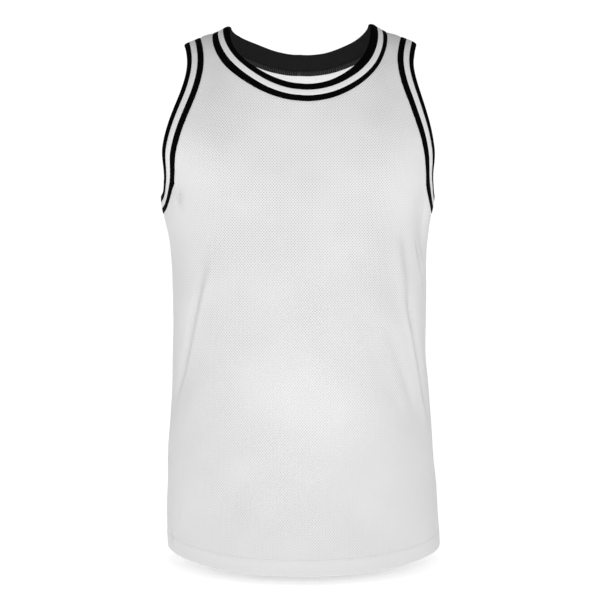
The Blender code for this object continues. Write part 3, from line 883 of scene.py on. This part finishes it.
NECK_T = even(neck_edge, 0.0, 2 * pi, 420)[:-1]
profile, slot_of = band_profile(STRIPES_NECK)
neck = ring("neck_band", neck_edge, NECK_T, profile, slot_of)
neck.data.materials.append(rib_black)
neck.data.materials.append(rib_inside_painted_lit)
profile = stripe_profile(STRIPES_NECK)
neck_stripe = ring("neck_band_white_stripe", neck_edge, NECK_T, profile, [0] * len(profile))
neck_stripe.data.materials.append(rib_white)
profile = overlock_profile()
overlock = ring("neck_seam_allowance", neck_edge, NECK_T, profile, [0] * len(profile))
overlock.data.materials.append(rib_inside_painted_lit)
overlock_thread = overlock_threads("neck_overlock_thread")
overlock_thread.data.materials.append(thread_dark)

arms = []
for side, edge in (("right", arm_edge), ("left", arm_left)):
    t = np.concatenate([even(edge, -pi / 2, 0.0, 180)[:-1], even(edge, 0.0, pi / 2, 180)[:-1]])
    profile, slot_of = band_profile(STRIPES_ARM)
    band = ring(f"armhole_band_{side}", edge, t, profile, slot_of)
    band.data.materials.append(rib_black)
    band.data.materials.append(rib_inside_painted_lit)
    profile = stripe_profile(STRIPES_ARM)
    stripe = ring(f"armhole_band_{side}_white_stripe", edge, t, profile, [0] * len(profile))
    stripe.data.materials.append(rib_white)
    arms.append((side, band, stripe))

stitches = []
for side, is_front in (("front", True), ("back", False)):
    s = hem_stitches(f"hem_stitching_{side}", is_front)
    s.data.materials.append(thread_white)
    stitches.append(s)

# ---- each piece hangs on the root body (the slot named beside it is not used); the CAD parts are hidden ---
for piece, slot in ([(front, "mesh_white"), (back, "mesh_white"), (neck, "rib_black"),
                     (neck_stripe, "rib_white"), (overlock, "rib_black"),
                     (overlock_thread, "rib_black"), (stitches[0], "mesh_white"),
                     (stitches[1], "mesh_white")]
                    + [(b, "rib_black") for _, b, _ in arms]
                    + [(s, "rib_white") for _, _, s in arms]):
    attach(piece, "root")
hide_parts("front_panel")
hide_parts("back_panel")
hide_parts("neck_trim")
for side, band, _ in arms:
    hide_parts(f"armhole_trim_{side}")


# ---- floor, backdrop, light, camera --------------------------------------------------------
def plane(name, corners, material):
    mesh = bpy.data.meshes.new(name)
    mesh.from_pydata(corners, [], [(0, 1, 2, 3)])
    obj = bpy.data.objects.new(name, mesh)
    bpy.context.scene.collection.objects.link(obj)
    mesh.materials.append(material)
    return obj


FLOOR_Z = -0.7165
# the floor's glow drops from 0.81 to 0.41 under the hem: a painted shadow
plane("floor", [(-20, -20, FLOOR_Z), (20, -20, FLOOR_Z), (20, 20, FLOOR_Z), (-20, 20, FLOOR_Z)],
      pale_floor_painted_shadow("floor_pale_painted_shadow", 0.85, 0.41, 0.81))

# a white room: bright in front and behind, dimmer to the sides and overhead
world = bpy.data.worlds.new("studio")
bpy.context.scene.world = world
world.use_nodes = True
nodes, links = world.node_tree.nodes, world.node_tree.links
direction = nodes.new("ShaderNodeTexCoord")
parts = nodes.new("ShaderNodeSeparateXYZ")
square = nodes.new("ShaderNodeMath")
square.operation = "MULTIPLY"
links.new(direction.outputs["Generated"], parts.inputs[0])
for k in (0, 1):
    links.new(parts.outputs[1], square.inputs[k])
wall, fall = nodes.new("ShaderNodeMapRange"), nodes.new("ShaderNodeMapRange")
fall.interpolation_type = "SMOOTHSTEP"
for n, values in ((wall, (0.0, 0.90, 0.38, 1.05)), (fall, (0.22, 0.70, 0.0, 0.20))):
    for socket, value in zip(("From Min", "From Max", "To Min", "To Max"), values):
        n.inputs[socket].default_value = value
# a little dimmer again on the right
right = nodes.new("ShaderNodeMapRange")
for socket, value in zip(("From Min", "From Max", "To Min", "To Max"), (0.0, 1.0, 0.38, 0.29)):
    right.inputs[socket].default_value = value
links.new(parts.outputs[0], right.inputs["Value"])
links.new(right.outputs[0], wall.inputs["To Min"])
links.new(square.outputs[0], wall.inputs["Value"])
links.new(parts.outputs[2], fall.inputs["Value"])
links.new(wall.outputs[0], fall.inputs["To Min"])
# what shows of the room itself, past the floor's end, is plain white all round
seen = nodes.new("ShaderNodeMath")
seen.operation = "MAXIMUM"
links.new(nodes.new("ShaderNodeLightPath").outputs["Is Camera Ray"], seen.inputs[0])
links.new(fall.outputs[0], seen.inputs[1])
links.new(seen.outputs[0], nodes["Background"].inputs["Strength"])
nodes["Background"].inputs["Color"].default_value = (1, 1, 1, 1)


def area_light(name, at, towards, size, power):
    data = bpy.data.lights.new(name, "AREA")
    data.shape, data.size, data.energy = "SQUARE", size, power
    obj = bpy.data.objects.new(name, data)
    bpy.context.scene.collection.objects.link(obj)
    obj.location = at
    obj.rotation_euler = (Vector(towards) - Vector(at)).to_track_quat("-Z", "Y").to_euler()
    obj.visible_camera = False
    return obj


area_light("key", (0.04, -1.22, 0.02), (0.0, 0.0, -0.08), 0.8, 3.1)
area_light("inner_fill", (0.0, -0.02, -0.17), (0.0, 0.10, -0.04), 0.14, 0.21)

# a faint, wide-edged glow on the belly
glow = bpy.data.lights.new("glow", "SPOT")
glow.energy, glow.spot_size, glow.spot_blend, glow.shadow_soft_size = 2.3, radians(15.5), 1.0, 0.06
glow_at = bpy.data.objects.new("glow", glow)
bpy.context.scene.collection.objects.link(glow_at)
glow_at.location = (0.015, -0.90, -0.495)
glow_at.rotation_euler = (pi / 2, 0.0, 0.0)

camera = bpy.data.cameras.new("camera")
camera.lens, camera.sensor_width = 65.7, 36.0
camera.clip_start, camera.clip_end = 0.05, 50.0
cam = bpy.data.objects.new("camera", camera)
bpy.context.scene.collection.objects.link(cam)
cam.location = (0.0, -1.5, -0.361)
cam.rotation_euler = (pi / 2, 0.0, 0.0)
bpy.context.scene.camera = cam
bpy.context.scene.view_settings.view_transform = "Standard"
bpy.context.scene.view_settings.look = "None"

bpy.context.view_layer.update()
